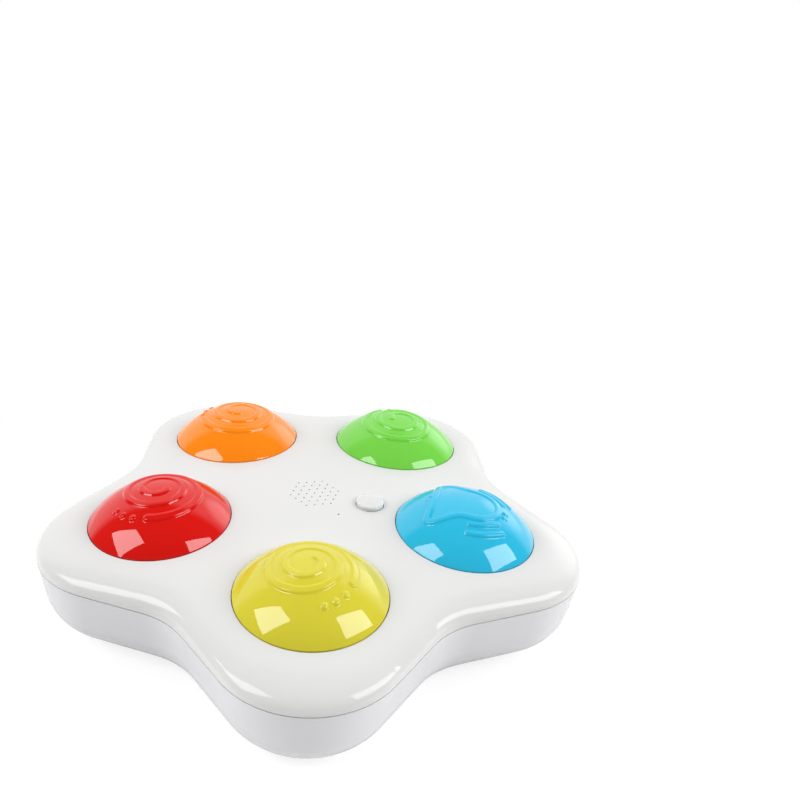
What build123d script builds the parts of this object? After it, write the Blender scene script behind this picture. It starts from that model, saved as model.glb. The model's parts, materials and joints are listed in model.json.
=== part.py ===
from build123d import *
import os
from math import acos, asin, atan2, cos, hypot, pi, radians, sin, sqrt

# Push button treat dispenser, in millimetres, +Z up, standing on z = 0.
# A five-lobed casing carries five stations. Each station is a sprung tray with a treat cup,
# closed by a hollow domed lid that hinges on a pin hidden under the dome. Pressing a dome
# pushes tray and lid down onto a switch. A small round button in the middle turns it on.

# ---------------------------------------------------------------- driving dimensions
# Casing outline at the parting line
lobes = 5
tip_reach = 144.2
valley_reach = 111.8
lobe_radius = 46.0
valley_radius = 43.0

# Heights over the floor
foot_proud = 1.5
parting_height = 41.9
crown_height = 57.75
crown_radius = 1460.0

# Mouldings
wall = 2.5
side_draft = 8.0
bottom_round = 25.0
shoulder_run = 25.0
shoulder_drop = 9.6
parting_gap = 0.6
tongue_height = 1.6
tongue_gap = 0.1

# Clearances
seat_gap = 0.3
pin_gap = 0.08
screw_gap = 0.05
dome_gap = 0.4
guide_gap = 0.5
side_gap = 0.4

# Stations
station_colours = ["yellow", "blue", "green", "orange", "red"]
first_azimuth = -90.0
station_reach = 82.7
well_radius = 36.4
collar_wall = 1.8
collar_depth = 16.0
press_travel = 4.0

# Domed lid
dome_lip = 0.5
dome_rise = 17.2
dome_wall = 2.2
dome_skirt = 3.0
dome_edge_round = 0.3

# Hinge of the lid
hinge_inset = 10.4
hinge_height = 1.0
hinge_pin_radius = 1.2
knuckle_radius = 2.4
tray_ear_width = 4.0
lid_ear_width = 4.0
ear_spread = 12.0
lid_web_reach = 8.0

# Catch tongue at the front of the lid
catch_width = 8.0
catch_thickness = 1.4
catch_inset = 0.6
catch_depth = 5.5

# Tray and treat cup
cup_inset = 12.8
cup_wall = 1.8
cup_offset = 6.7
cup_depth = 18.7
cup_floor = 2.0
cup_floor_round = 4.0
flange_thickness = 2.0
guide_wall = 1.6
rear_cut_inset = 17.4
hook_reach = 1.8
hook_height = 1.5
hook_sweep = 16.0
hook_azimuths = [0.0, 105.0, -105.0]

# Return spring, its seats and the switch under each tray
spring_length = 16.0
spring_radius = 8.5
spring_wire = 0.7
spring_turns = 4.5
spigot_radius = 6.5
spigot_height = 1.6
actuator_radius = 2.5
seat_wall = 2.0
seat_rim = 2.0
switch_side = 8.0
switch_height = 5.0
plunger_radius = 1.75
plunger_height = 2.5

# Torsion spring round the hinge pin
lid_spring_wire = 0.3
lid_spring_turns = 6.0
tray_leg = 8.4
tray_leg_slope = 50.0
lid_leg_gap = 0.4

# Speaker and its grille
grille_pitch = 4.4
grille_rings = 3
grille_hole_radius = 0.5
grille_turn = 12.4
speaker_radius = 16.0
speaker_flange = 1.6
speaker_height = 13.0
magnet_radius = 10.0
magnet_height = 5.0
speaker_wall = 0.8
cone_dust_cap = 5.0
seat_ring_wall = 1.5
clamp_thickness = 1.5
clamp_overlap = 2.5

# Microphone behind the pinhole
pinhole_radius = 0.6
pinhole_reach = 23.7
pinhole_azimuth = -57.0
microphone_radius = 3.0
microphone_height = 2.6
microphone_holder_wall = 1.2

# Power button and its switch
power_reach = 31.0
power_azimuth = -16.3
power_radius = 7.3
power_gap = 0.3
power_proud = 2.7
power_crown = 0.5
power_edge_round = 0.7
power_travel = 1.2
power_flange_reach = 1.8
power_flange_thickness = 1.2
power_stem_radius = 1.6
power_stem_length = 3.0
power_switch_side = 6.0
power_switch_height = 4.0
power_plunger_height = 1.5
power_spring_radius = 5.3
power_spring_wire = 0.3
power_spring_turns = 5.0
power_post_spread = 13.0
power_post_radius = 2.5
power_board_length = 32.0
power_board_width = 15.0

# Circuit boards
board_thickness = 1.6
board_length = 84.0
board_width = 60.0
board_height = 24.0
board_corner = 4.0
board_post_radius = 3.0
board_post_inset = 4.5
chip_side = 12.0
chip_height = 1.6
capacitor_radius = 4.0
capacitor_height = 8.0

# Battery bay, cells, contacts and door
cells = 3
cell_radius = 7.2
cell_length = 49.2
cell_nub_radius = 2.7
cell_nub_length = 1.3
cell_gap = 0.4
contact_space = 2.6
contact_thickness = 0.5
contact_height = 10.0
bay_roof = 2.0
door_thickness = 2.0
door_ledge_end = 8.0
door_ledge_side = 3.0
door_corner = 4.0
door_gap = 0.3
bay_wall = 2.0
door_screw_inset = 4.2
door_tab_length = 1.6
door_tab_width = 8.0
door_tab_thickness = 1.2
door_tab_spread = 26.0

# Screws and feet
screw_reach = 80.0
screw_post_radius = 4.5
screw_head_radius = 2.9
screw_head_height = 2.0
screw_shank_radius = 1.4
screw_length = 20.0
screw_socket_radius = 3.5
screw_grip = 6.0
door_screw_head_radius = 2.4
door_screw_head_height = 1.4
door_screw_radius = 1.1
door_screw_length = 6.0
foot_reach = 104.0
foot_radius = 8.0
foot_recess = 1.2
foot_round = 0.6

# ---------------------------------------------------------------- places that follow from them
base_bottom = foot_proud
base_floor = base_bottom + wall
half_turn = pi / lobes
cover_bottom = parting_height + parting_gap / 2
base_top = parting_height - parting_gap / 2
dome_radius = well_radius - dome_gap
guide_radius = well_radius - guide_gap
hinge_reach = well_radius - hinge_inset
cup_radius = well_radius - cup_inset
rear_cut = well_radius - rear_cut_inset
dome_ball = (dome_radius**2 + dome_rise**2) / (2 * dome_rise)
dome_ball_height = dome_lip + dome_rise - dome_ball
dome_inner_ball = dome_ball - dome_wall
flange_top = -(dome_skirt + seat_gap)
flange_bottom = flange_top - flange_thickness
cup_bottom = flange_top - cup_depth - cup_floor
spring_top = cup_bottom - seat_gap
post_top = spring_top - spring_length - seat_gap
plunger_top = post_top + switch_height + plunger_height
actuator_bottom = plunger_top + press_travel + seat_gap
ear_inner = ear_spread / 2
lid_ear_inner = ear_inner + tray_ear_width + side_gap
lid_ear_outer = lid_ear_inner + lid_ear_width

# The origin is under the middle of the outline's bounding box, so the star's centre is moved
# along Y: the front lobe points to -Y and the two rear lobes end at their own arcs.
lobe_centre = tip_reach - lobe_radius
rear_reach = lobe_centre * sin(radians(first_azimuth) + 4 * half_turn) + lobe_radius
star_shift = (tip_reach - rear_reach) / 2


def deck_plane(reach, azimuth, seat_radius=0.0):
    """Plane of a circle of seat_radius that lies on the crowned deck, x outwards, z along its normal."""
    turn = radians(azimuth)
    plane_radius = sqrt(crown_radius**2 - seat_radius**2)
    tilt = asin(reach / plane_radius)
    height = crown_height - crown_radius + plane_radius * cos(tilt)
    origin = (reach * cos(turn), reach * sin(turn), height)
    x_dir = (cos(turn) * cos(tilt), sin(turn) * cos(tilt), -sin(tilt))
    z_dir = (cos(turn) * sin(tilt), sin(turn) * sin(tilt), cos(tilt))
    return Plane(origin=origin, x_dir=x_dir, z_dir=z_dir)


def polar(reach, azimuth):
    """Point at a reach and azimuth from the star's centre."""
    return reach * cos(radians(azimuth)), reach * sin(radians(azimuth))


def write(shape, name):
    """Moves a piece from the star's centre to the part's origin and writes it."""
    placed = Pos(0, star_shift, 0) * shape
    export_step(placed, f"parts/{name}.step")


def tube(outer, inner, bottom, top):
    """Upright ring between two heights."""
    ring = Cylinder(outer, top - bottom, align=(Align.CENTER, Align.CENTER, Align.MIN))
    ring -= Cylinder(inner, top - bottom, align=(Align.CENTER, Align.CENTER, Align.MIN))
    return Pos(0, 0, bottom) * ring


def rod(radius, bottom, top):
    """Upright cylinder between two heights."""
    return Pos(0, 0, bottom) * Cylinder(radius, top - bottom, align=(Align.CENTER, Align.CENTER, Align.MIN))


def block(length, width, bottom, top, corner=0.0):
    """Upright box between two heights, centred, with rounded upright corners."""
    section = RectangleRounded(length, width, corner) if corner else Rectangle(length, width)
    return Pos(0, 0, bottom) * extrude(section, top - bottom)


# ---------------------------------------------------------------- casing outline
def star(inset):
    """Five-lobed face, moved inwards by inset: lobe and valley arcs joined by straight flanks."""
    valley_centre = valley_reach + valley_radius
    valley_x = valley_centre * cos(half_turn)
    valley_y = valley_centre * sin(half_turn)
    between = hypot(valley_x - lobe_centre, valley_y)
    flank = atan2(valley_y, valley_x - lobe_centre) - acos((lobe_radius + valley_radius) / between)
    lobe_end_x = lobe_centre + (lobe_radius - inset) * cos(flank)
    lobe_end_y = (lobe_radius - inset) * sin(flank)
    valley_end_x = valley_x - (valley_radius + inset) * cos(flank)
    valley_end_y = valley_y - (valley_radius + inset) * sin(flank)
    edges = []
    for lobe in range(lobes):
        turn = first_azimuth + 360 / lobes * lobe
        here = Rot(0, 0, turn)
        onward = Rot(0, 0, turn + 360 / lobes)
        start = (here * Pos(lobe_end_x, -lobe_end_y)).position
        tip = (here * Pos(tip_reach - inset, 0)).position
        end = (here * Pos(lobe_end_x, lobe_end_y)).position
        valley_in = (here * Pos(valley_end_x, valley_end_y)).position
        dip = Rot(0, 0, turn + 180 / lobes) * Pos(valley_reach - inset, 0)
        valley_out = (onward * Pos(valley_end_x, -valley_end_y)).position
        following = (onward * Pos(lobe_end_x, -lobe_end_y)).position
        edges.append(ThreePointArc(start, tip, end))
        edges.append(Line(end, valley_in))
        edges.append(ThreePointArc(valley_in, dip.position, valley_out))
        edges.append(Line(valley_out, following))
    return Face(Wire(edges))


def crowned_form(inset, bottom, lower):
    """Solid under the crowned deck: the outline with an elliptical shoulder, lowered by lower.

    The form is made taller by the ratio of the shoulder's run to its drop, given a round
    shoulder, and brought back to height, which turns the round into an ellipse. The ball
    lies on its side, so its poles and seam are away from the deck and its holes.
    """
    stretch = shoulder_run / shoulder_drop
    top = crown_height - lower
    column = extrude(Pos(0, 0, bottom * stretch) * star(inset), (top - bottom) * stretch + 1)
    ball_radius = (crown_radius - lower) / stretch
    column &= Pos(0, 0, top * stretch - ball_radius) * Rot(90, 0, 0) * Sphere(ball_radius)
    upper_edges = column.edges().filter_by(lambda edge: edge.center().Z > (bottom + 1) * stretch)
    rounded = fillet(upper_edges, shoulder_run - inset)
    return scale(rounded, by=(1, 1, 1 / stretch))


# ---------------------------------------------------------------- stations
station_planes = []
for index in range(lobes):
    station_planes.append(deck_plane(station_reach, first_azimuth + 360 / lobes * index, well_radius))
power_plane = deck_plane(power_reach, power_azimuth)
valley_azimuths = [first_azimuth + 360 / lobes * (index + 0.5) for index in range(lobes)]

board_posts = []
for side_x in (-1, 1):
    for side_y in (-1, 1):
        place_x = side_x * (board_length / 2 - board_post_inset)
        place_y = side_y * (board_width / 2 - board_post_inset)
        board_posts.append((place_x, place_y))


# ---------------------------------------------------------------- top cover
def grille_points():
    """Hexagonal array of holes round the centre."""
    points = []
    for row in range(-grille_rings, grille_rings + 1):
        holes = 2 * grille_rings + 1 - abs(row)
        for hole in range(holes):
            x = (hole - (holes - 1) / 2) * grille_pitch
            y = row * grille_pitch * sin(pi / 3)
            points.append((x, y))
    return points


def make_top_cover():
    cover = crowned_form(0, cover_bottom, 0)
    cavity = crowned_form(wall, cover_bottom - 1, wall)
    cover -= cavity
    rebate_top = parting_height + tongue_height + seat_gap
    rebate = extrude(Pos(0, 0, cover_bottom - 1) * star(wall / 2), rebate_top - cover_bottom + 1)
    cover -= rebate
    deck_centre = crown_height - wall / 2
    ring_inner = speaker_radius + tongue_gap
    ring_bottom = crown_height - wall - speaker_flange - clamp_thickness - 2 * seat_gap
    cover += tube(ring_inner + seat_ring_wall, ring_inner, ring_bottom, deck_centre)
    holder = deck_plane(pinhole_reach, pinhole_azimuth)
    holder_inner = microphone_radius + tongue_gap
    holder_ring = tube(
        holder_inner + microphone_holder_wall, holder_inner, -wall - microphone_height, -wall / 2
    )
    cover += holder.location * holder_ring
    for side in (-1, 1):
        post = rod(power_post_radius, power_board_top, -wall / 2)
        cover += power_plane.location * Pos(0, side * power_post_spread, 0) * post
    for azimuth in valley_azimuths:
        post_x, post_y = polar(screw_reach, azimuth)
        deck_here = crown_height - screw_reach**2 / (2 * crown_radius)
        post = rod(screw_post_radius, cover_bottom + seat_gap, deck_here - wall / 2)
        post -= rod(screw_shank_radius + screw_gap, cover_bottom, cover_bottom + screw_grip + 1)
        cover += Pos(post_x, post_y, 0) * post
    for plane in station_planes:
        cover += plane.location * rod(well_radius + collar_wall, -collar_depth, -wall / 2)
    for plane in station_planes:
        cover -= plane.location * rod(well_radius, -collar_depth - 1, wall)
    cover -= power_plane.location * rod(power_radius + power_gap, -wall * 2, wall)
    cover -= holder.location * rod(pinhole_radius, -wall * 2, wall)
    grille_hole = rod(grille_hole_radius, crown_height - 2 * wall, crown_height + 1)
    for x, y in grille_points():
        cover -= Rot(0, 0, grille_turn) * Pos(x, y, 0) * grille_hole
    return cover


# ---------------------------------------------------------------- base shell
bay_length = cell_length + cell_nub_length + 2 * contact_space
bay_width = cells * 2 * cell_radius + (cells + 1) * cell_gap
bay_bottom = base_bottom + door_thickness + door_gap
bay_top = bay_bottom + 2 * cell_radius + 2 * cell_gap
door_length = bay_length + 2 * door_ledge_end
door_width = bay_width + 2 * door_ledge_side
door_screw_x = door_length / 2 - door_screw_inset


def door_tab_places():
    """Where the two tabs stand out of the end of the battery door that has no screw."""
    return [Pos(-door_length / 2, side * door_tab_spread / 2, 0) for side in (-1, 1)]


def door_tab(clearance):
    """One tab, grown by a clearance for the slot that takes it."""
    top = base_bottom + door_thickness
    length = 2 * (door_tab_length + clearance)
    width = door_tab_width + 2 * clearance
    return block(length, width, top - door_tab_thickness - clearance, top + clearance)


def make_base_shell():
    outer = extrude(Pos(0, 0, base_top) * star(0), -(base_top - base_bottom), taper=side_draft)
    outer = fillet(outer.faces().sort_by(Axis.Z)[0].edges(), bottom_round)
    inner = extrude(Pos(0, 0, base_top) * star(wall), -(base_top - base_floor), taper=side_draft)
    inner = fillet(inner.faces().sort_by(Axis.Z)[0].edges(), bottom_round - wall)
    envelope = outer
    shell = outer - inner
    tongue_outer = star(wall / 2 + tongue_gap)
    tongue = tongue_outer - star(wall)
    tongue_bottom = base_top - wall / 2
    shell += extrude(Pos(0, 0, tongue_bottom) * tongue, parting_height + tongue_height - tongue_bottom)
    bay_outer_length = door_length + 2 * bay_wall
    bay_outer_width = door_width + 2 * bay_wall
    shell += block(bay_outer_length, bay_outer_width, base_bottom, bay_top + bay_roof, door_corner)
    for plane in station_planes:
        pillar_bottom = -(plane.origin.Z - base_bottom - wall / 2)
        pillar = rod(spring_seat_radius + seat_wall, pillar_bottom, post_top)
        rim = tube(spring_seat_radius + seat_wall, spring_seat_radius, post_top, post_top + seat_rim)
        shell += plane.location * (pillar + rim)
    for azimuth in valley_azimuths:
        post_x, post_y = polar(screw_reach, azimuth)
        shell += Pos(post_x, post_y, 0) * rod(screw_post_radius, base_bottom + wall / 2, cover_bottom)
    for post_x, post_y in board_posts:
        shell += Pos(post_x, post_y, 0) * rod(board_post_radius, base_bottom + wall / 2, board_height)
    shell &= envelope + extrude(Pos(0, 0, base_top) * star(wall / 2 + tongue_gap), wall * 2)
    shell -= block(bay_length, bay_width, base_bottom - 1, bay_top)
    pocket_length = door_length + 2 * door_gap
    pocket_width = door_width + 2 * door_gap
    shell -= block(pocket_length, pocket_width, base_bottom - 1, bay_bottom, door_corner + door_gap)
    for place in door_tab_places():
        shell -= place * door_tab(door_gap)
    screw_hole = rod(door_screw_radius + screw_gap, base_bottom, bay_bottom + door_screw_length)
    shell -= Pos(door_screw_x, 0, 0) * screw_hole
    for azimuth in valley_azimuths:
        post_x, post_y = polar(screw_reach, azimuth)
        shell -= Pos(post_x, post_y, 0) * rod(screw_socket_radius, base_bottom - 1, screw_head_seat)
        shell -= Pos(post_x, post_y, 0) * rod(screw_shank_radius + seat_gap, base_bottom, cover_bottom + 1)
    for index in range(lobes):
        foot_x, foot_y = polar(foot_reach, first_azimuth + 360 / lobes * index)
        recess = rod(foot_radius + tongue_gap, base_bottom - 1, base_bottom + foot_recess)
        shell -= Pos(foot_x, foot_y, 0) * recess
    return shell


spring_seat_radius = spring_radius + spring_wire + side_gap
screw_head_seat = cover_bottom + screw_grip + seat_gap - screw_length
power_flange_top = -wall - seat_gap
power_flange_bottom = power_flange_top - power_flange_thickness
power_stem_bottom = power_flange_bottom - power_stem_length
power_plunger_top = power_stem_bottom - power_travel - seat_gap
power_board_top = power_plunger_top - power_plunger_height - power_switch_height


# ---------------------------------------------------------------- small parts of the casing
def make_battery_door():
    door = block(door_length, door_width, base_bottom, base_bottom + door_thickness, door_corner)
    for place in door_tab_places():
        door += place * door_tab(0)
    door -= Pos(door_screw_x, 0, 0) * rod(door_screw_radius + screw_gap, base_bottom - 1, bay_bottom)
    head_top = base_bottom + door_screw_head_height
    door -= Pos(door_screw_x, 0, 0) * rod(door_screw_head_radius + screw_gap, base_bottom - 1, head_top)
    return door


def make_door_screw():
    head_top = base_bottom + door_screw_head_height
    screw = rod(door_screw_head_radius, base_bottom, head_top)
    screw += rod(door_screw_radius, head_top, head_top + door_screw_length)
    return Pos(door_screw_x, 0, 0) * screw


def make_casing_screws():
    screws = []
    for azimuth in valley_azimuths:
        post_x, post_y = polar(screw_reach, azimuth)
        screw = rod(screw_head_radius, screw_head_seat - screw_head_height, screw_head_seat)
        screw += rod(screw_shank_radius, screw_head_seat, screw_head_seat + screw_length)
        screws.append(Pos(post_x, post_y, 0) * screw)
    return Compound(screws)


def make_rubber_feet():
    feet = []
    for index in range(lobes):
        foot_x, foot_y = polar(foot_reach, first_azimuth + 360 / lobes * index)
        foot = rod(foot_radius, 0, base_bottom + foot_recess)
        foot = fillet(foot.edges().sort_by(Axis.Z)[0], foot_round)
        feet.append(Pos(foot_x, foot_y, 0) * foot)
    return Compound(feet)


def make_batteries():
    pieces = []
    for index in range(cells):
        row = (index - (cells - 1) / 2) * (2 * cell_radius + cell_gap)
        facing = 1 if index % 2 == 0 else -1
        cell = rod(cell_radius, 0, cell_length)
        cell += rod(cell_nub_radius, cell_length, cell_length + cell_nub_length)
        cell = Pos(0, 0, -(cell_length + cell_nub_length) / 2) * cell
        height = bay_bottom + cell_gap + cell_radius
        pieces.append(Pos(0, row, height) * Rot(0, 90 * facing, 0) * cell)
    return Compound(pieces)


def make_battery_contacts():
    pieces = []
    middle = bay_bottom + cell_gap + cell_radius
    plate_width = 2 * cell_radius - 2 * cell_gap
    reach = bay_length / 2 - tongue_gap
    gap_to_cell = contact_space - tongue_gap - contact_thickness - seat_gap
    for index in range(cells):
        row = (index - (cells - 1) / 2) * (2 * cell_radius + cell_gap)
        for end in (-1, 1):
            plate = Box(contact_thickness, plate_width, contact_height)
            button = Rot(0, 90, 0) * Cylinder(cell_nub_radius, gap_to_cell)
            plate = Pos(end * (reach - contact_thickness / 2), row, middle) * plate
            inner_face = reach - contact_thickness - gap_to_cell / 2
            pieces.append(plate + Pos(end * inner_face, row, middle) * button)
    return Compound(pieces)


def make_main_board():
    bottom = board_height
    top = bottom + board_thickness
    board = block(board_length, board_width, bottom, top, board_corner)
    for post_x, post_y in board_posts:
        board -= Pos(post_x, post_y, 0) * rod(door_screw_radius + seat_gap, bottom - 1, top + 1)
    board += block(chip_side, chip_side, top, top + chip_height)
    chip_row = board_length / 4
    for side in (-1, 1):
        board += Pos(side * chip_row, board_width / 5, 0) * rod(capacitor_radius, top, top + capacitor_height)
        connector = block(chip_side, chip_side / 2, top, top + 2 * chip_height)
        board += Pos(side * chip_row, -board_width / 4, 0) * connector
    return board


def make_board_screws():
    screws = []
    top = board_height + board_thickness
    for post_x, post_y in board_posts:
        screw = rod(door_screw_head_radius, top, top + door_screw_head_height)
        screw += rod(door_screw_radius, board_height, top)
        screws.append(Pos(post_x, post_y, 0) * screw)
    return Compound(screws)


# ---------------------------------------------------------------- speaker and microphone
speaker_top = crown_height - wall - seat_gap
basket_bottom = speaker_top - speaker_height + magnet_height


def make_speaker_frame():
    """Pressed basket: a flange, a conical wall and a flat back for the magnet."""
    flange_inner = speaker_radius - clamp_overlap
    profile = Polyline(
        (0, basket_bottom),
        (magnet_radius, basket_bottom),
        (flange_inner, speaker_top - speaker_flange),
        (speaker_radius, speaker_top - speaker_flange),
        (speaker_radius, speaker_top),
        (flange_inner - speaker_wall, speaker_top),
        (magnet_radius - speaker_wall, basket_bottom + speaker_wall),
        (0, basket_bottom + speaker_wall),
        close=True,
    )
    return revolve(Plane.XZ * make_face(profile), Axis.Z)


def make_speaker_cone():
    """Paper cone with a dust cap, hanging from the flange by its outer edge."""
    rim = speaker_top - speaker_wall
    low = basket_bottom + 2 * speaker_wall + seat_gap
    basket_depth = speaker_top - basket_bottom - speaker_wall
    basket_flare = speaker_radius - clamp_overlap - magnet_radius
    basket_there = magnet_radius + basket_flare * (1 - 2 * speaker_wall / basket_depth)
    outer = basket_there - speaker_wall - seat_gap
    cap_height = cone_dust_cap / 3
    profile = Polyline(
        (0, low + cap_height),
        (cone_dust_cap, low),
        (outer, rim - speaker_wall),
        (outer, rim),
        (cone_dust_cap, low + speaker_wall),
        (0, low + cap_height + speaker_wall),
        close=True,
    )
    return revolve(Plane.XZ * make_face(profile), Axis.Z)


def make_speaker_magnet():
    magnet = rod(magnet_radius, basket_bottom - magnet_height, basket_bottom)
    return chamfer(magnet.edges().group_by(Axis.Z)[0], speaker_wall)


def make_speaker_clamp():
    """Ring that holds the speaker's flange up against the deck."""
    top = speaker_top - speaker_flange
    return tube(speaker_radius, speaker_radius - clamp_overlap + seat_gap, top - clamp_thickness, top)


def make_microphone():
    top = -wall - tongue_gap
    capsule = rod(microphone_radius, top - microphone_height, top)
    return deck_plane(pinhole_reach, pinhole_azimuth).location * capsule


# ---------------------------------------------------------------- power button
def make_power_button():
    crown = (power_radius**2 + power_crown**2) / (2 * power_crown)
    cap = rod(power_radius, power_flange_top, power_proud)
    cap &= Pos(0, 0, power_proud - crown) * Sphere(crown)
    cap = fillet(cap.edges().filter_by(lambda edge: edge.center().Z > 0), power_edge_round)
    cap += rod(power_radius + power_flange_reach, power_flange_bottom, power_flange_top)
    cap += rod(power_stem_radius, power_stem_bottom, power_flange_bottom)
    return power_plane.location * cap


def make_power_switch():
    top = power_board_top + power_switch_height
    switch = block(power_switch_side, power_switch_side, power_board_top, top)
    switch += rod(plunger_radius, top, power_plunger_top)
    return power_plane.location * switch


def make_power_board():
    board = block(power_board_width, power_board_length, power_board_top - board_thickness, power_board_top)
    return power_plane.location * board


def coil(radius, wire, bottom, top, turns):
    """Round-wound spring with a six-sided wire, between two heights."""
    height = top - bottom - 2 * wire
    path = Helix(pitch=height / turns, height=height, radius=radius)
    section = Plane(origin=path @ 0, z_dir=path % 0) * RegularPolygon(wire, 6)
    return Pos(0, 0, bottom + wire) * sweep(section, path=path, is_frenet=True)


def make_power_spring():
    top = power_flange_bottom - seat_gap
    spring = coil(power_spring_radius, power_spring_wire, power_board_top + seat_gap, top, power_spring_turns)
    return power_plane.location * spring


# ---------------------------------------------------------------- one station
def dome_profile(radius, lip, rise, bottom):
    """Half section of a spherical cap on a short upright band, closed down to bottom."""
    ball = (radius**2 + rise**2) / (2 * rise)
    half = asin(radius / ball) / 2
    centre = lip + rise - ball
    arc = ThreePointArc((radius, lip), (ball * sin(half), centre + ball * cos(half)), (0, lip + rise))
    sides = Polyline((0, lip + rise), (0, bottom), (radius, bottom), (radius, lip))
    return Plane.XZ * make_face(Wire([arc] + list(sides.edges())))


def make_dome_lid():
    inner_radius = dome_radius - dome_wall
    outer = revolve(dome_profile(dome_radius, dome_lip, dome_rise, -dome_skirt), Axis.Z)
    brim = outer.edges().filter_by(lambda edge: abs(edge.center().Z - dome_lip) < 0.01)
    outer = fillet(brim, dome_edge_round)
    inner_rise = dome_inner_ball - sqrt(dome_inner_ball**2 - inner_radius**2)
    inner_lip = dome_lip + dome_rise - dome_wall - inner_rise
    hollow = revolve(dome_profile(inner_radius, inner_lip, inner_rise, -dome_skirt - 1), Axis.Z)
    lid = outer - hollow
    for side in (-1, 1):
        ear = lid_ear_profile()
        middle = side * (lid_ear_inner + lid_ear_outer) / 2
        ear = Pos(0, middle, 0) * extrude(Plane.XZ * ear, lid_ear_width / 2, both=True)
        lid += ear & outer
    bore = Rot(90, 0, 0) * Cylinder(hinge_pin_radius + pin_gap, 2 * lid_ear_outer)
    lid -= Pos(-hinge_reach, 0, hinge_height) * bore
    tongue_x = dome_radius - catch_inset - catch_thickness / 2
    tongue = Box(catch_thickness, catch_width, catch_depth + dome_skirt)
    lid += Pos(tongue_x, 0, -dome_skirt - (catch_depth - dome_skirt) / 2) * tongue
    return lid


def lid_ear_profile():
    """Knuckle round the pin, joined up and back to the inside of the dome."""
    knuckle = Pos(-hinge_reach, hinge_height) * Circle(knuckle_radius)
    web = Polyline(
        (-hinge_reach + knuckle_radius, hinge_height),
        (-hinge_reach + knuckle_radius, hinge_height + lid_web_reach),
        (-dome_radius, hinge_height + lid_web_reach),
        (-dome_radius, hinge_height),
        close=True,
    )
    return knuckle + make_face(web)


def make_treat_tray():
    tray = rod(guide_radius, flange_bottom, flange_top)
    skirt_bottom = -collar_depth - seat_gap - hook_height
    tray += tube(guide_radius, guide_radius - guide_wall, skirt_bottom, flange_top)
    for azimuth in hook_azimuths:
        hook_inner = guide_radius - guide_wall
        hook = tube(well_radius + hook_reach, hook_inner, skirt_bottom, skirt_bottom + hook_height)
        wedge = Pos(well_radius, 0, skirt_bottom) * Box(well_radius, hook_sweep, 4 * hook_height)
        tray += Rot(0, 0, azimuth) * (hook & wedge)
    rear = Pos(-rear_cut - well_radius / 2, 0, 0) * Box(well_radius, 4 * well_radius, 4 * collar_depth)
    tray -= rear
    cup_outer = cup_radius + cup_wall
    cup = rod(cup_outer, cup_bottom, flange_top)
    cup = fillet(cup.edges().sort_by(Axis.Z)[0], cup_floor_round)
    tray += Pos(cup_offset, 0, 0) * cup
    for side in (-1, 1):
        arm = Pos(0, side * (ear_inner + tray_ear_width / 2), 0) * extrude(
            Plane.XZ * tray_ear_profile(), tray_ear_width / 2, both=True
        )
        tray += arm
    hollow = rod(cup_radius, cup_bottom + cup_floor, flange_top + knuckle_radius * 3)
    hollow = fillet(hollow.edges().sort_by(Axis.Z)[0], cup_floor_round - cup_wall)
    tray -= Pos(cup_offset, 0, 0) * hollow
    tray += rod(spigot_radius, cup_bottom - spigot_height, cup_bottom + cup_floor / 2)
    tray += rod(actuator_radius, actuator_bottom, cup_bottom)
    bore = Rot(90, 0, 0) * Cylinder(hinge_pin_radius + screw_gap, 2 * lid_ear_outer)
    tray -= Pos(-hinge_reach, 0, hinge_height) * bore
    notch_inner = dome_radius - catch_inset - catch_thickness - side_gap
    notch_width = catch_width + 2 * side_gap
    notch_depth = catch_depth + side_gap
    notch = Box(well_radius, notch_width, 2 * notch_depth)
    tray -= Pos(notch_inner + well_radius / 2, 0, flange_top + seat_gap - notch_depth + notch_depth) * notch
    return tray


def tray_ear_profile():
    """Knuckle round the pin with an arm that runs down and forward to the cup."""
    knuckle = Pos(-hinge_reach, hinge_height) * Circle(knuckle_radius)
    root_x = cup_offset - cup_radius
    arm = Polyline(
        (-hinge_reach, hinge_height - knuckle_radius),
        (root_x, flange_bottom - 2 * knuckle_radius),
        (root_x, flange_top),
        (-rear_cut, flange_top),
        (-hinge_reach + knuckle_radius / 2, hinge_height + knuckle_radius * 0.85),
        close=True,
    )
    return knuckle + make_face(arm)


def make_hinge_pin():
    pin = Rot(90, 0, 0) * Cylinder(hinge_pin_radius, 2 * lid_ear_outer - 2 * seat_gap)
    return Pos(-hinge_reach, 0, hinge_height) * pin


def make_lid_spring():
    """Torsion spring between the tray's ears, with one leg on the cup and one up into the dome."""
    half = ear_inner - side_gap
    radius = hinge_pin_radius + seat_gap + lid_spring_wire
    turns = lid_spring_turns - (90 - tray_leg_slope) / 360
    spring = Rot(-90, 0, 0) * coil(radius, lid_spring_wire, -half, half, turns)
    leg_row = half - lid_spring_wire
    lower = Cylinder(lid_spring_wire, tray_leg, align=(Align.CENTER, Align.CENTER, Align.MIN))
    spring += Rot(0, 90 + tray_leg_slope, 0) * Pos(-radius, leg_row, 0) * lower
    dome_inside = dome_ball_height + sqrt(dome_inner_ball**2 - hinge_reach**2)
    lid_leg = dome_inside - hinge_height - lid_leg_gap
    upper = Cylinder(lid_spring_wire, lid_leg, align=(Align.CENTER, Align.CENTER, Align.MIN))
    spring += Pos(radius, -leg_row, 0) * upper
    return Pos(-hinge_reach, 0, hinge_height) * spring


def make_press_switch():
    switch = block(switch_side, switch_side, post_top, post_top + switch_height)
    switch += rod(plunger_radius, post_top + switch_height, plunger_top)
    return switch


def make_return_spring():
    return coil(spring_radius, spring_wire, spring_top - spring_length, spring_top, spring_turns)


# ---------------------------------------------------------------- writing
os.makedirs("parts", exist_ok=True)

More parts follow.
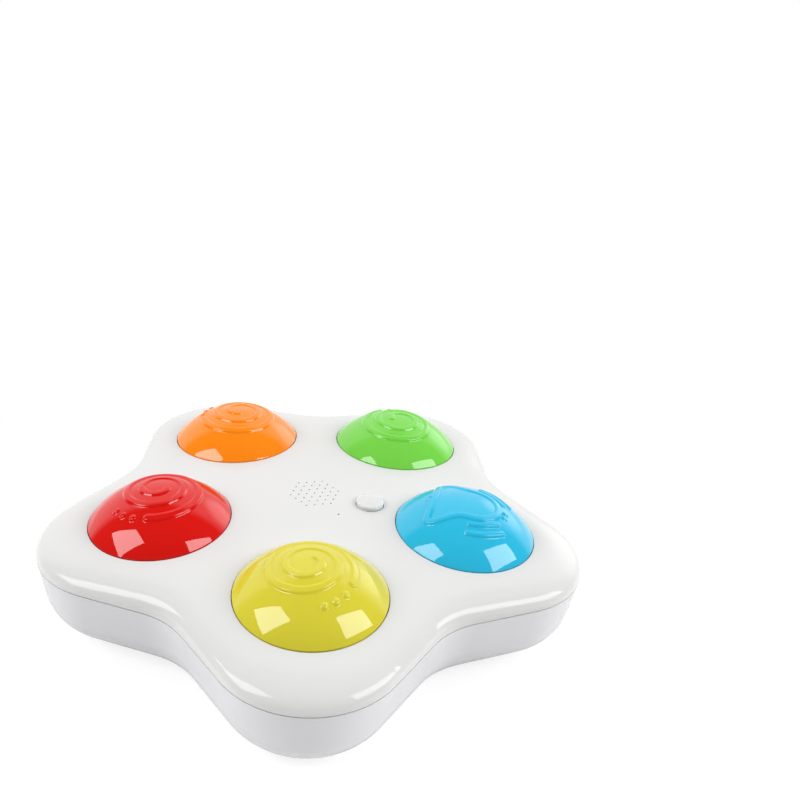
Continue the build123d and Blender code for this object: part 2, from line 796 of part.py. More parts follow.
write(make_top_cover(), "top_cover")
write(make_base_shell(), "base_shell")
write(make_battery_door(), "battery_door")
write(make_door_screw(), "battery_door_screw")
write(make_casing_screws(), "casing_screws")
write(make_rubber_feet(), "rubber_feet")
write(make_batteries(), "batteries")
write(make_battery_contacts(), "battery_contacts")
write(make_main_board(), "main_board")
write(make_board_screws(), "main_board_screws")
write(make_speaker_frame(), "speaker_frame")
write(make_speaker_cone(), "speaker_cone")
write(make_speaker_magnet(), "speaker_magnet")
write(make_speaker_clamp(), "speaker_clamp")
write(make_microphone(), "microphone")
write(make_power_button(), "power_button")
write(make_power_switch(), "power_switch")
write(make_power_board(), "power_board")
write(make_power_spring(), "power_button_spring")

station_pieces = {
    "dome_lid": make_dome_lid(),
    "treat_tray": make_treat_tray(),
    "hinge_pin": make_hinge_pin(),
    "lid_spring": make_lid_spring(),
    "press_switch": make_press_switch(),
    "return_spring": make_return_spring(),
}
for colour, plane in zip(station_colours, station_planes):
    for piece, shape in station_pieces.items():
        write(plane.location * shape, f"{piece}_{colour}")
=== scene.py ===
import json
from math import cos, pi, radians, sin

import bmesh
import bpy
import numpy as np
from mathutils import Matrix, Vector

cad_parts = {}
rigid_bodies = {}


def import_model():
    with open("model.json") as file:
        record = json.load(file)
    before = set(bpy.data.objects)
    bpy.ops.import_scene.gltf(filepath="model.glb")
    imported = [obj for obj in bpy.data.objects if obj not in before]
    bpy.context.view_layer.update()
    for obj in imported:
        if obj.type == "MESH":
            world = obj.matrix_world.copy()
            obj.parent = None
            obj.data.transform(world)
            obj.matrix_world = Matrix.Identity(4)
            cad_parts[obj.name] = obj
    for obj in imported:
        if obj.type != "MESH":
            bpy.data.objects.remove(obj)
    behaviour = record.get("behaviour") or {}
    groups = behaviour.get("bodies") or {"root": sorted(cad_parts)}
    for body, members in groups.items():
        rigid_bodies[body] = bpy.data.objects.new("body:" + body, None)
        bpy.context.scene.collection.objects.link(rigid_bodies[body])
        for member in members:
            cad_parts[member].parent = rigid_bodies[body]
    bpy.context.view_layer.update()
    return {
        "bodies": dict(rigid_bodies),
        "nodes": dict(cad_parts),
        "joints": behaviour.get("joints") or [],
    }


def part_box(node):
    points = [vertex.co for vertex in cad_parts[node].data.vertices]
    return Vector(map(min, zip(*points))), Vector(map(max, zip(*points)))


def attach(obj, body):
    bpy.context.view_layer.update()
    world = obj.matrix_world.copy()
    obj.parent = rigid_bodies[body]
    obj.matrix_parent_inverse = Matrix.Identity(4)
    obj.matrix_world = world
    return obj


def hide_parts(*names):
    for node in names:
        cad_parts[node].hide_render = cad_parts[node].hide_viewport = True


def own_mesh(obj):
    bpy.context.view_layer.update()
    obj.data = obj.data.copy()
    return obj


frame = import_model()
nodes = frame["nodes"]

# ---------------------------------------------------------------- camera
# A camera held over the front lobe, close to the toy, looking down on the five domes.
# It stands a hair left of the toy's middle, turned a little to the right and tipped to one side.
camera_place = Vector((-0.00235, -0.38610, 0.30255))
camera_heading = radians(2.676)
camera_dip = radians(25.405)
camera_roll = radians(3.661)
camera_focal = 38.242
camera_sensor = 36.0
camera_shift = 0.0622
camera_near = 0.01

camera_data = bpy.data.cameras.new("camera")
camera = bpy.data.objects.new("camera", camera_data)
bpy.context.scene.collection.objects.link(camera)
bpy.context.scene.camera = camera
camera_data.sensor_width = camera_sensor
camera_data.lens = camera_focal
camera_data.shift_x = camera_shift
camera_data.clip_start = camera_near
camera.matrix_world = (
    Matrix.Translation(camera_place)
    @ Matrix.Rotation(-camera_heading, 4, "Z")
    @ Matrix.Rotation(pi / 2 - camera_dip, 4, "X")
    @ Matrix.Rotation(camera_roll, 4, "Z")
)

# ---------------------------------------------------------------- base shell
# The lower half of the casing: a deep five-lobed tray with drafted walls and a round bottom edge.
# Injection-moulded ABS in plain white, high gloss, with the faint ripple that moulded skins have.

# Low and high roughness from a polished mould, and the sheen that the white pieces keep.
casing_polish = 0.02, 0.035, 0.3
# Most of a noise texture lies between these two values.
noise_low, noise_high = 0.3, 0.7
# A colour mix numbers its sockets: the two colours that go in, and the one that comes out.
first_tint, second_tint, mixed_tint = 6, 7, 2


def tint(code):
    """Linear RGBA of an sRGB hex colour."""
    parts = np.array([int(code[i : i + 2], 16) for i in (0, 2, 4)]) / 255
    linear = np.where(parts <= 0.04045, parts / 12.92, ((parts + 0.055) / 1.055) ** 2.4)
    return (*linear.tolist(), 1.0)


def add(tree, kind, inputs=None, **properties):
    """One node with its properties, and inputs given as constants or as the sockets that feed them."""
    made = tree.nodes.new(kind)
    for name, value in properties.items():
        setattr(made, name, value)
    for name, value in (inputs or {}).items():
        if isinstance(value, bpy.types.NodeSocket):
            tree.links.new(value, made.inputs[name])
        else:
            made.inputs[name].default_value = value
    return made


def finish_of(name):
    """Empty material: its node tree, the surface shader and the object's own coordinates."""
    material = bpy.data.materials.new(name)
    material.use_nodes = True
    tree = material.node_tree
    tree.nodes.clear()
    shader = add(tree, "ShaderNodeBsdfPrincipled")
    add(tree, "ShaderNodeOutputMaterial", {"Surface": shader.outputs["BSDF"]})
    place = add(tree, "ShaderNodeTexCoord").outputs["Object"]
    return material, tree, shader, place


def gloss_abs(name, light, dark, rough_low, rough_high, specular=0.5):
    """Moulded glossy ABS: flow mottling, a polish that varies, slow sink ripple and fine orange peel."""
    flow_size, polish_size, ripple_size, peel_size = 0.038, 0.007, 0.016, 0.0011
    ripple_depth, peel_depth = 0.000012, 0.0000012
    abs_ior = 1.53
    material, tree, shader, place = finish_of(name)
    flow = add(tree, "ShaderNodeTexNoise", {"Vector": place, "Scale": 1 / flow_size, "Detail": 3.0})
    colour = add(
        tree,
        "ShaderNodeMix",
        {"Factor": flow.outputs["Fac"], first_tint: tint(dark), second_tint: tint(light)},
        data_type="RGBA",
    )
    polish = add(tree, "ShaderNodeTexNoise", {"Vector": place, "Scale": 1 / polish_size, "Detail": 4.0})
    rough = add(
        tree,
        "ShaderNodeMapRange",
        {
            "Value": polish.outputs["Fac"],
            "From Min": noise_low,
            "From Max": noise_high,
            "To Min": rough_low,
            "To Max": rough_high,
        },
    )
    ripple = add(tree, "ShaderNodeTexNoise", {"Vector": place, "Scale": 1 / ripple_size, "Detail": 1.0})
    slow = add(
        tree, "ShaderNodeBump", {"Height": ripple.outputs["Fac"], "Distance": ripple_depth, "Strength": 1.0}
    )
    peel = add(tree, "ShaderNodeTexNoise", {"Vector": place, "Scale": 1 / peel_size, "Detail": 1.0})
    fine = add(
        tree,
        "ShaderNodeBump",
        {
            "Height": peel.outputs["Fac"],
            "Distance": peel_depth,
            "Strength": 1.0,
            "Normal": slow.outputs["Normal"],
        },
    )
    tree.links.new(colour.outputs[mixed_tint], shader.inputs["Base Color"])
    tree.links.new(rough.outputs["Result"], shader.inputs["Roughness"])
    tree.links.new(fine.outputs["Normal"], shader.inputs["Normal"])
    shader.inputs["IOR"].default_value = abs_ior
    shader.inputs["Specular IOR Level"].default_value = specular
    return material


def dress(name, material):
    """Gives a CAD node its finish."""
    for slot in nodes[name].material_slots:
        slot.material = material


# Lighter and bluer white than the top cover's: painted light that brightens the side walls, which the lamps
# leave dimmer.
dress("base_shell", gloss_abs("shell_painted_light_abs", "DFDEE1", "DCDBDE", *casing_polish))


# ---------------------------------------------------------------- rubber feet
# Five round pads of grey thermoplastic rubber, pressed into shallow seats under the lobes.
# Moulded with a matt, slightly dusty skin that keeps the toy from sliding.
def matt_skin(name, light, dark, grain_size, grain_depth, rough):
    """Matt moulded skin: two near tones in a cloudy mix and an even fine grain."""
    cloud_share = 0.2
    material, tree, shader, place = finish_of(name)
    cloud = add(
        tree, "ShaderNodeTexNoise", {"Vector": place, "Scale": cloud_share / grain_size, "Detail": 5.0}
    )
    colour = add(
        tree,
        "ShaderNodeMix",
        {"Factor": cloud.outputs["Fac"], first_tint: tint(dark), second_tint: tint(light)},
        data_type="RGBA",
    )
    grain = add(tree, "ShaderNodeTexNoise", {"Vector": place, "Scale": 1 / grain_size, "Detail": 3.0})
    bump = add(
        tree, "ShaderNodeBump", {"Height": grain.outputs["Fac"], "Distance": grain_depth, "Strength": 1.0}
    )
    tree.links.new(colour.outputs[mixed_tint], shader.inputs["Base Color"])
    tree.links.new(bump.outputs["Normal"], shader.inputs["Normal"])
    shader.inputs["Roughness"].default_value = rough
    return material


foot_rubber = matt_skin(
    "foot_tpe_rubber", "6E6F71", "5D5E60", grain_size=0.0006, grain_depth=0.00004, rough=0.72
)
dress("rubber_feet", foot_rubber)


# ---------------------------------------------------------------- battery bay
# Three cells in plain vinyl sleeves between nickel-plated contacts, under a screwed door.
# The door is the casing's own white ABS; the screws are zinc-plated steel.
def worked_metal(name, light, dark, line_size, along, rough_low, rough_high):
    """Metal with fine tool or drawing lines: noise stretched along x (0) or z (2) moves polish and tone."""
    stretch = 0.04
    material, tree, shader, place = finish_of(name)
    scale = [1 / line_size] * 3
    scale[along] *= stretch
    drawn = add(tree, "ShaderNodeMapping", {"Vector": place, "Scale": scale})
    lines = add(tree, "ShaderNodeTexNoise", {"Vector": drawn.outputs["Vector"], "Scale": 1.0, "Detail": 4.0})
    colour = add(
        tree,
        "ShaderNodeMix",
        {"Factor": lines.outputs["Fac"], first_tint: tint(dark), second_tint: tint(light)},
        data_type="RGBA",
    )
    rough = add(
        tree,
        "ShaderNodeMapRange",
        {
            "Value": lines.outputs["Fac"],
            "From Min": noise_low,
            "From Max": noise_high,
            "To Min": rough_low,
            "To Max": rough_high,
        },
    )
    tree.links.new(colour.outputs[mixed_tint], shader.inputs["Base Color"])
    tree.links.new(rough.outputs["Result"], shader.inputs["Roughness"])
    shader.inputs["Metallic"].default_value = 1.0
    return material


screw_zinc = worked_metal(
    "screw_zinc_plate", "C9CBCC", "A9ACB0", line_size=0.0006, along=2, rough_low=0.22, rough_high=0.38
)
cell_vinyl = matt_skin(
    "cell_vinyl_sleeve", "4A4F57", "3E434B", grain_size=0.0015, grain_depth=0.000005, rough=0.35
)
contact_nickel = worked_metal(
    "contact_nickel_plate", "D8D4CB", "BFBBB1", line_size=0.0005, along=2, rough_low=0.18, rough_high=0.3
)
# The door takes the base shell's lighter, bluer white: the same painted light.
dress("battery_door", gloss_abs("door_painted_light_abs", "DFDEE1", "DCDBDE", *casing_polish))
dress("battery_door_screw", screw_zinc)
dress("casing_screws", screw_zinc)
dress("main_board_screws", screw_zinc)
dress("batteries", cell_vinyl)
dress("battery_contacts", contact_nickel)


# ---------------------------------------------------------------- circuit boards and switches
# Glass-epoxy boards under green solder mask, small tactile switches of black nylon, and the
# microphone's aluminium can. The mask is a sprayed lacquer: smooth and glossy over a faint weave.
def solder_mask(name, light, dark):
    """Green lacquer over woven glass: two crossed waves at the thread spacing lift it slightly."""
    thread_spacing, weave_depth, mask_rough = 0.0006, 0.000008, 0.28
    # At scale 1 the wave texture repeats every 0.31.
    wave_scale = 0.31 / thread_spacing
    material, tree, shader, place = finish_of(name)
    warp = add(tree, "ShaderNodeTexWave", {"Vector": place, "Scale": wave_scale}, bands_direction="X")
    weft = add(tree, "ShaderNodeTexWave", {"Vector": place, "Scale": wave_scale}, bands_direction="Y")
    weave = add(
        tree, "ShaderNodeMath", {0: warp.outputs["Fac"], 1: weft.outputs["Fac"]}, operation="MULTIPLY"
    )
    colour = add(
        tree,
        "ShaderNodeMix",
        {"Factor": weave.outputs["Value"], first_tint: tint(dark), second_tint: tint(light)},
        data_type="RGBA",
    )
    bump = add(
        tree, "ShaderNodeBump", {"Height": weave.outputs["Value"], "Distance": weave_depth, "Strength": 1.0}
    )
    tree.links.new(colour.outputs[mixed_tint], shader.inputs["Base Color"])
    tree.links.new(bump.outputs["Normal"], shader.inputs["Normal"])
    shader.inputs["Roughness"].default_value = mask_rough
    return material


board_mask = solder_mask("board_solder_mask", "27784A", "1F6B3A")
switch_nylon = matt_skin(
    "switch_black_nylon", "232426", "1B1C1E", grain_size=0.0005, grain_depth=0.00001, rough=0.5
)
can_aluminium = worked_metal(
    "microphone_aluminium_can", "C2C4C6", "A5A8AB", line_size=0.0004, along=2, rough_low=0.3, rough_high=0.42
)
dress("main_board", board_mask)
dress("power_board", board_mask)
dress("power_switch", switch_nylon)
dress("microphone", can_aluminium)

# ---------------------------------------------------------------- speaker
# A small loudspeaker under the grille: pressed zinc-plated basket, black paper cone, ferrite magnet,
# held up against the cover by a white ABS clamp ring.
clamp_polish = 0.05, 0.08
basket_zinc = worked_metal(
    "basket_zinc_plate", "C4C6C4", "A4A7A8", line_size=0.0008, along=2, rough_low=0.28, rough_high=0.42
)
cone_paper = matt_skin(
    "cone_paper_pulp", "2B2A28", "201F1E", grain_size=0.0008, grain_depth=0.00005, rough=0.85
)
magnet_ferrite = matt_skin(
    "magnet_ferrite", "3A3A3C", "2E2E30", grain_size=0.0004, grain_depth=0.00001, rough=0.55
)
dress("speaker_frame", basket_zinc)
dress("speaker_cone", cone_paper)
dress("speaker_magnet", magnet_ferrite)
dress("speaker_clamp", gloss_abs("clamp_gloss_abs", "DADAD8", "D6D6D4", *clamp_polish))

# ---------------------------------------------------------------- top cover and power button
# The upper half of the casing, with its crowned deck, five wells and the grille, and the small
# round button beside the grille, on a coil spring of music wire. Both are glossy white ABS. The
# button's is milky: light enters its top and leaves a few millimetres away, at its sides.
button_polish = 0.03, 0.05, 0.3
button_milkiness = 0.7
button_light_reach = 0.0025
power_coil_radius = 0.0053
power_wire_radius = 0.0003
power_coil_turns = 5.0
joints = {joint["name"]: joint for joint in frame["joints"]}

dress("top_cover", gloss_abs("casing_gloss_abs", "DADAD8", "D7D7D6", *casing_polish))
button_abs = gloss_abs("button_gloss_abs", "D9DAD9", "D6D7D6", *button_polish)
button_shader = button_abs.node_tree.nodes["Principled BSDF"]
button_shader.inputs["Subsurface Weight"].default_value = button_milkiness
button_shader.inputs["Subsurface Radius"].default_value = (1.0, 1.0, 1.0)
button_shader.inputs["Subsurface Scale"].default_value = button_light_reach
dress("power_button", button_abs)


def grid_faces(rows, columns):
    """Quads of a grid of rows by columns points, in row order."""
    corner = (np.arange(rows - 1)[:, None] * columns + np.arange(columns - 1)).ravel()
    return np.stack([corner, corner + 1, corner + columns + 1, corner + columns], 1)


def surface(name, pieces, origin, axes):
    """One mesh of several grids, turned from a local frame into the toy's, with doubles merged."""
    weld_distance, sliver_length = 1e-7, 1e-8
    points, faces, count = [], [], 0
    for grid_points, grid in pieces:
        points.append(grid_points @ axes + origin)
        faces.append(grid + count)
        count += len(grid_points)
    mesh = bpy.data.meshes.new(name)
    mesh.from_pydata(np.concatenate(points).tolist(), [], np.concatenate(faces).tolist())
    work = bmesh.new()
    work.from_mesh(mesh)
    bmesh.ops.remove_doubles(work, verts=work.verts, dist=weld_distance)
    bmesh.ops.dissolve_degenerate(work, dist=sliver_length, edges=work.edges)
    work.to_mesh(mesh)
    work.free()
    mesh.shade_smooth()
    made = bpy.data.objects.new(name, mesh)
    bpy.context.scene.collection.objects.link(made)
    return made


def wound_spring(name, node, joint, radius, wire, turns):
    """Compression spring in a node's place: round wire along a helix from its lower to its upper end.

    The height grows evenly with the turn, up the joint's axis.
    """
    steps, sides = 40, 12
    up = np.array(joints[joint]["axis"])
    out = np.cross([0, 1, 0], up) / np.linalg.norm(np.cross([0, 1, 0], up))
    axes = np.array([out, np.cross(up, out), up])
    heights = np.array([corner.co for corner in nodes[node].data.vertices]) @ up
    length = heights.max() - heights.min()
    middle = np.array(sum(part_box(node), Vector())) / 2
    foot = middle + (heights.min() - middle @ up) * up
    turn = np.linspace(0, 2 * pi * turns, int(steps * turns))
    rise = wire + (length - 2 * wire) * turn / turn[-1]
    outward = np.stack([np.cos(turn), np.sin(turn), 0 * turn], 1)
    helix = radius * outward + np.stack([0 * turn, 0 * turn, rise], 1)
    along = np.gradient(helix, axis=0)
    along /= np.linalg.norm(along, axis=1)[:, None]
    beside = np.cross(along, outward)
    row = np.concatenate([[0], np.arange(len(turn)), [len(turn) - 1]])
    thick = wire * np.concatenate([[0], np.ones(len(turn)), [0]])[:, None, None]
    round_wire = np.linspace(0, 2 * pi, sides + 1)[None, :, None]
    rim = np.cos(round_wire) * outward[row][:, None] + np.sin(round_wire) * beside[row][:, None]
    points = helix[row][:, None] + thick * rim
    spring = surface(name, [(points.reshape(-1, 3), grid_faces(len(row), sides + 1))], foot, axes)
    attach(spring, "casing")
    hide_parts(node)
    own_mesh(spring)
    return spring


music_wire = worked_metal(
    "spring_music_wire", "B9BBBD", "94979A", line_size=0.0004, along=2, rough_low=0.25, rough_high=0.4
)
power_coil = wound_spring(
    "power_button_coil",
    "power_button_spring",
    "power_press",
    power_coil_radius,
    power_wire_radius,
    power_coil_turns,
)
power_coil.data.materials.append(music_wire)

# ---------------------------------------------------------------- stations
# Under each dome: a white tray with its treat cup, a bright steel pin, a wound wire spring,
# and the return spring and switch below. The tray is satin ABS, duller than the casing.
tray_polish = 0.2, 0.28, 0.3
return_coil_radius = 0.0085
return_wire_radius = 0.0007
return_coil_turns = 4.5
tray_abs = gloss_abs("tray_satin_abs", "DADAD8", "D6D6D4", *tray_polish)
pin_steel = worked_metal(
    "pin_ground_steel", "CFD1D3", "B4B7BA", line_size=0.0005, along=0, rough_low=0.14, rough_high=0.24
)
torsion_wire = worked_metal(
    "torsion_music_wire", "B9BBBD", "94979A", line_size=0.0004, along=0, rough_low=0.25, rough_high=0.4
)
station_names = [body[len("lid_"):] for body in frame["bodies"] if body.startswith("lid_")]
for colour in station_names:
    dress(f"treat_tray_{colour}", tray_abs)
    dress(f"hinge_pin_{colour}", pin_steel)
    dress(f"lid_spring_{colour}", torsion_wire)
    return_coil = wound_spring(
        f"return_coil_{colour}",
        f"return_spring_{colour}",
        f"press_{colour}",
        return_coil_radius,
        return_wire_radius,
        return_coil_turns,
    )
    return_coil.data.materials.append(music_wire)
    dress(f"press_switch_{colour}", switch_nylon)

# ---------------------------------------------------------------- domes
# Hollow domed lids of coloured ABS, mirror-polished in the mould, each with a raised ornament:
# a spiral bead and three dots on four of them, a waisted ring with curved bars on the blue one.
dome_polish = 0.03, 0.05
hinge_reach = 0.026
hinge_height = 0.001
dome_radius = 0.036
dome_lip = 0.0005
dome_rise = 0.0172
dome_ball = (dome_radius**2 + dome_rise**2) / (2 * dome_rise)
bead_width = 0.0047
bar_width = 0.0037
bead_height = 0.0008
bead_flank = 0.0015
bead_sink = 0.00001
spiral_start = 137.4
spiral_sweep = 790.5
spiral_inner = 0.00524
spiral_pitch = 0.0077
spiral_offset = np.array([-0.00103, -0.00215])
spiral_rows = 420
ring_rows = 300
bar_rows = 60
# Reach in metres and azimuth in degrees of each dot.
dot_width = 0.0042
spiral_dots = ((0.0209, 46.7), (0.0215, 30.5), (0.0220, 15.3))
ring_dots = ((0.0188, 6.2), (0.0188, -6.2), (0.0201, 185.8), (0.0201, 174.2))


def station_frame(colour):
    """Origin and axes of a station: z up the press axis, y along the hinge, x outwards from the pin."""
    up = np.array(joints[f"press_{colour}"]["axis"])
    across = -np.array(joints[f"open_{colour}"]["axis"])
    out = np.cross(across, up)
    pin = np.array(joints[f"open_{colour}"]["pos_m"])
    return pin + hinge_reach * out - hinge_height * up, np.array([out, across, up])


def on_ball(plan, lift):
    """Points over plan positions, lifted from the dome's ball along its radius."""
    centre_height = dome_lip + dome_rise - dome_ball
    height = np.sqrt(dome_ball**2 - (plan**2).sum(-1))
    offset = np.concatenate([plan, height[..., None]], -1) * (1 + lift / dome_ball)[..., None]
    return offset + np.array([0, 0, centre_height])


def flank_lift(inwards):
    """Height of the relief at a distance in from its foot: a half cosine over the flank, then level."""
    share = np.clip(inwards / bead_flank, 0, 1)
    return bead_height * (0.5 - 0.5 * np.cos(pi * share)) - bead_sink


def bead(path, width):
    """Raised flat-topped bead along a plan path on the ball; its flanks fall as a cosine to both feet.

    Past each end of the path the rows narrow as a circle does, which rounds the ends.
    """
    caps, columns = 9, 25
    half = width / 2
    step = np.gradient(path, axis=0)
    along = step / np.linalg.norm(step, axis=1)[:, None]
    angle = np.linspace(0, pi / 2, caps, endpoint=False)
    row = np.concatenate([np.zeros(caps, int), np.arange(len(path)), np.full(caps, len(path) - 1)])
    past = np.concatenate([-half * np.cos(angle), np.zeros(len(path)), half * np.cos(angle[::-1])])
    narrow = np.concatenate([np.sin(angle), np.ones(len(path)), np.sin(angle[::-1])])
    beside = np.linspace(-half, half, columns)[None] * narrow[:, None]
    left = np.stack([-along[:, 1], along[:, 0]], 1)[row]
    plan = (path[row] + past[:, None] * along[row])[:, None] + beside[..., None] * left[:, None]
    away = np.minimum(np.hypot(past[:, None], beside) / half, 1)
    return on_ball(plan, flank_lift(half * (1 - away))).reshape(-1, 3), grid_faces(len(row), columns)[:, ::-1]


def dot(reach, azimuth):
    """Raised round dot at a reach and azimuth: rings round its middle, the bead's flank at its rim."""
    rings, sectors = 15, 33
    share = np.linspace(0, 1, rings)[:, None]
    turn = np.linspace(0, 2 * pi, sectors)[None]
    middle = reach * np.array([cos(radians(azimuth)), sin(radians(azimuth))])
    plan = middle + dot_width / 2 * np.stack([share * np.cos(turn), share * np.sin(turn)], -1)
    lift = np.broadcast_to(flank_lift(dot_width / 2 * (1 - share)), (rings, sectors))
    return on_ball(plan, lift).reshape(-1, 3), grid_faces(rings, sectors)[:, ::-1]


def spiral_path():
    """Plan of the spiral: a radius that grows evenly with the turn, about a point off the dome's middle."""
    turn = np.linspace(0, spiral_sweep, spiral_rows)
    reach = spiral_inner + spiral_pitch * turn / 360
    azimuth = np.radians(spiral_start - turn)
    return spiral_offset + np.stack([reach * np.cos(azimuth), reach * np.sin(azimuth)], 1)


def smooth_path(points, count, closed=False):
    """Plan curve through a few points in millimetres: a Catmull-Rom spline with even parameter steps."""
    knots = np.array(points) * 0.001
    ends = (knots[-1:], knots[:2]) if closed else (2 * knots[:1] - knots[1:2], 2 * knots[-1:] - knots[-2:-1])
    padded = np.concatenate([ends[0], knots, ends[1]])
    spans = len(padded) - 3
    place = np.linspace(0, spans, count)
    first = np.minimum(place.astype(int), spans - 1)
    u = (place - first)[:, None]
    a, b, c, d = (padded[first + k] for k in range(4))
    return 0.5 * (2 * b + (c - a) * u + (2 * a - 5 * b + 4 * c - d) * u**2 + (3 * b - a - 3 * c + d) * u**3)


# One half of the ring is given and mirrored, and so is each curved bar beside it.
ring_points = [(15.2, 0), (14.4, 4.3), (11.9, 8), (8, 10.6), (3, 12), (-2.4, 12.4), (-6.6, 14), (-10.6, 16.3)]
ring_points += [(-14.6, 17.7), (-17.3, 17.4), (-18.3, 15.6), (-18.3, 9), (-18.3, 3)]
ring_points += [(x, -y) for x, y in ring_points[:0:-1]]
bar_points = [[(3, 16.3), (6.5, 15.5), (10.5, 13.7), (14, 11.4), (16.6, 9.4)]]
bar_points += [[(3, 21.3), (7, 20.5), (12, 18.5), (16.5, 15.5), (19.8, 12.7)]]


def ornament(colour):
    """Beads and dots of one dome in its own frame."""
    if colour != "blue":
        return [bead(spiral_path(), bead_width)] + [dot(*place) for place in spiral_dots]
    pieces = [bead(smooth_path(ring_points, ring_rows, closed=True), bead_width)]
    for points in bar_points:
        for side in (1, -1):
            pieces.append(bead(smooth_path([(x, side * y) for x, y in points], bar_rows), bar_width))
    return pieces + [dot(*place) for place in ring_dots]


dome_tints = {
    "yellow": ("D5CB3C", "D2C738"),
    "blue": ("2FB9DE", "2BB5DB"),
    "green": ("78D24C", "74CE48"),
    "orange": ("FB8A18", "F88614"),
    "red": ("D61812", "D21510"),
}
for colour in station_names:
    dome_abs = gloss_abs(f"dome_{colour}_abs", *dome_tints[colour], *dome_polish)
    dress(f"dome_lid_{colour}", dome_abs)
    relief = surface(f"dome_ornament_{colour}", ornament(colour), *station_frame(colour))
    relief.data.materials.append(dome_abs)
    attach(relief, f"lid_{colour}")

# ---------------------------------------------------------------- floor
# A plain white table that keeps the toy's shadow and gives its light back to the side walls.
# Seen straight on it is lifted to white, so only the shadow shows, and past the toy it is all white.
floor_half = 3.0
floor_veil = 0.3
floor_lift = 0.78
shadow_reach, white_reach = 0.17, 0.3

floor_mesh = bpy.data.meshes.new("floor")
floor_corners = [(-floor_half, -floor_half, 0), (floor_half, -floor_half, 0)]
floor_corners += [(floor_half, floor_half, 0), (-floor_half, floor_half, 0)]
floor_mesh.from_pydata(floor_corners, [], [(0, 1, 2, 3)])
floor = bpy.data.objects.new("floor", floor_mesh)
bpy.context.scene.collection.objects.link(floor)
floor_paint = bpy.data.materials.new("floor_white_paper")
floor_paint.use_nodes = True
floor_tree = floor_paint.node_tree
floor_tree.nodes.clear()
floor_rays = add(floor_tree, "ShaderNodeLightPath")
floor_place = add(floor_tree, "ShaderNodeTexCoord").outputs["Object"]
paper = add(floor_tree, "ShaderNodeBsdfDiffuse", {"Color": tint("F4F4F4")})
veil = add(floor_tree, "ShaderNodeBsdfDiffuse", {"Color": (floor_veil, floor_veil, floor_veil, 1)})
lift = add(floor_tree, "ShaderNodeEmission", {"Color": (1, 1, 1, 1), "Strength": floor_lift})
lifted = add(floor_tree, "ShaderNodeAddShader", {0: veil.outputs["BSDF"], 1: lift.outputs["Emission"]})
away = add(floor_tree, "ShaderNodeVectorMath", {0: floor_place}, operation="LENGTH")
bare = add(
    floor_tree,
    "ShaderNodeMapRange",
    {"Value": away.outputs["Value"], "From Min": shadow_reach, "From Max": white_reach},
    interpolation_type="SMOOTHSTEP",
)
white = add(floor_tree, "ShaderNodeEmission", {"Color": (1, 1, 1, 1), "Strength": 1.0})
seen_floor = add(
    floor_tree,
    "ShaderNodeMixShader",
    {0: bare.outputs["Result"], 1: lifted.outputs["Shader"], 2: white.outputs["Emission"]},
)
choice = add(
    floor_tree,
    "ShaderNodeMixShader",
    {0: floor_rays.outputs["Is Camera Ray"], 1: paper.outputs["BSDF"], 2: seen_floor.outputs["Shader"]},
)
add(floor_tree, "ShaderNodeOutputMaterial", {"Surface": choice.outputs["Shader"]})
floor_mesh.materials.append(floor_paint)

# ---------------------------------------------------------------- studio
# Two softboxes at the left and the right, and a white sweep behind the table with a brighter patch.
# What mirrors the room sees a dark front and ceiling, so the domes keep their colour. What gathers
# light softly gets more of it from low down and from both sides than from above.
sweep_bright = 0.95
room_dark = 0.05
glow_bright = 1.3
glow_towards = (0.62, 0.72, 0.31)
# Each pair gives where a change begins and ends, as a share of the direction looked in.
sweep_edge, sweep_full = 0.28, 0.5
ceiling_edge, ceiling_dark = 0.84, 0.95
glow_edge, glow_full = 0.94, 0.995
front_dark, front_bright = -0.55, 0.0
level_gain, upward_gain = 1.56, 0.69
side_gain, middle_gain = 1.1, 0.75
# A mix of numbers has its own socket numbers: two go in, one comes out.
first_level, second_level, mixed_level = 2, 3, 0

world = bpy.data.worlds.new("studio")
bpy.context.scene.world = world
world.use_nodes = True
room = world.node_tree
room.nodes.clear()
room_rays = add(room, "ShaderNodeLightPath")
direction = add(room, "ShaderNodeTexCoord").outputs["Generated"]
look = add(room, "ShaderNodeSeparateXYZ", {"Vector": direction})
behind = add(
    room,
    "ShaderNodeMapRange",
    {"Value": look.outputs["Y"], "From Min": sweep_edge, "From Max": sweep_full},
    interpolation_type="SMOOTHSTEP",
)
below_ceiling = add(
    room,
    "ShaderNodeMapRange",
    {
        "Value": look.outputs["Z"],
        "From Min": ceiling_edge,
        "From Max": ceiling_dark,
        "To Min": 1.0,
        "To Max": 0.0,
    },
    interpolation_type="SMOOTHSTEP",
)
sweep = add(
    room,
    "ShaderNodeMath",
    {0: behind.outputs["Result"], 1: below_ceiling.outputs["Result"]},
    operation="MULTIPLY",
)
wall = add(
    room,
    "ShaderNodeMapRange",
    {"Value": sweep.outputs["Value"], "To Min": room_dark, "To Max": sweep_bright},
)
facing = add(room, "ShaderNodeVectorMath", {0: direction, 1: glow_towards}, operation="DOT_PRODUCT")
glow = add(
    room,
    "ShaderNodeMapRange",
    {"Value": facing.outputs["Value"], "From Min": glow_edge, "From Max": glow_full, "To Max": glow_bright},
    interpolation_type="SMOOTHSTEP",
)
mirrored = add(
    room, "ShaderNodeMath", {0: wall.outputs["Result"], 1: glow.outputs["Result"]}, operation="ADD"
)
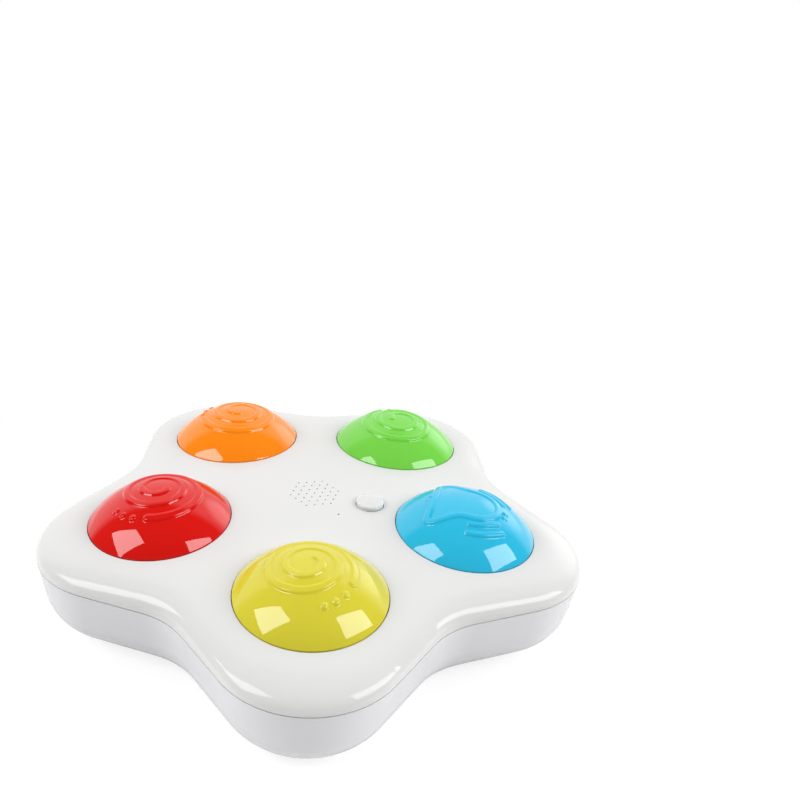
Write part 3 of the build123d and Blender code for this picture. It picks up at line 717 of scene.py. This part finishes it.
soft = add(
    room,
    "ShaderNodeMapRange",
    {
        "Value": look.outputs["Y"],
        "From Min": front_dark,
        "From Max": front_bright,
        "To Min": room_dark,
        "To Max": sweep_bright,
    },
)
low = add(
    room,
    "ShaderNodeMapRange",
    {"Value": look.outputs["Z"], "To Min": level_gain, "To Max": upward_gain},
)
sideways = add(room, "ShaderNodeMath", {0: look.outputs["X"], 1: look.outputs["X"]}, operation="MULTIPLY")
sides = add(
    room,
    "ShaderNodeMath",
    {0: sideways.outputs["Value"], 1: side_gain, 2: middle_gain},
    operation="MULTIPLY_ADD",
)
lower = add(
    room, "ShaderNodeMath", {0: soft.outputs["Result"], 1: low.outputs["Result"]}, operation="MULTIPLY"
)
gathered = add(
    room, "ShaderNodeMath", {0: lower.outputs["Value"], 1: sides.outputs["Value"]}, operation="MULTIPLY"
)
level = add(
    room,
    "ShaderNodeMix",
    {
        "Factor": room_rays.outputs["Is Diffuse Ray"],
        first_level: mirrored.outputs["Value"],
        second_level: gathered.outputs["Value"],
    },
)
seen = add(
    room,
    "ShaderNodeMath",
    {0: level.outputs[mixed_level], 1: room_rays.outputs["Is Camera Ray"]},
    operation="MAXIMUM",
)
backdrop = add(room, "ShaderNodeBackground", {"Color": (1, 1, 1, 1), "Strength": seen.outputs["Value"]})
add(room, "ShaderNodeOutputWorld", {"Surface": backdrop.outputs["Background"]})


def softbox(name, place, turn, width, height, radiance):
    """Rectangular lamp at a place, turned about x, y and z in degrees; power is radiance × area × π."""
    data = bpy.data.lights.new(name, "AREA")
    data.shape = "RECTANGLE"
    data.size, data.size_y = width, height
    data.energy = radiance * width * height * pi
    made = bpy.data.objects.new(name, data)
    bpy.context.scene.collection.objects.link(made)
    made.location = place
    made.rotation_euler = [radians(angle) for angle in turn]
    return made


softbox(
    "softbox_left",
    place=(-1.022, -0.434, 1.213),
    turn=(-104.6, 68.9, 113.8),
    width=1.191,
    height=0.809,
    radiance=6.1,
)
softbox(
    "softbox_right",
    place=(1.611, -0.365, 1.211),
    turn=(73.8, 1.7, 33.6),
    width=1.568,
    height=0.838,
    radiance=6.1,
)

bpy.context.scene.view_settings.view_transform = "Standard"
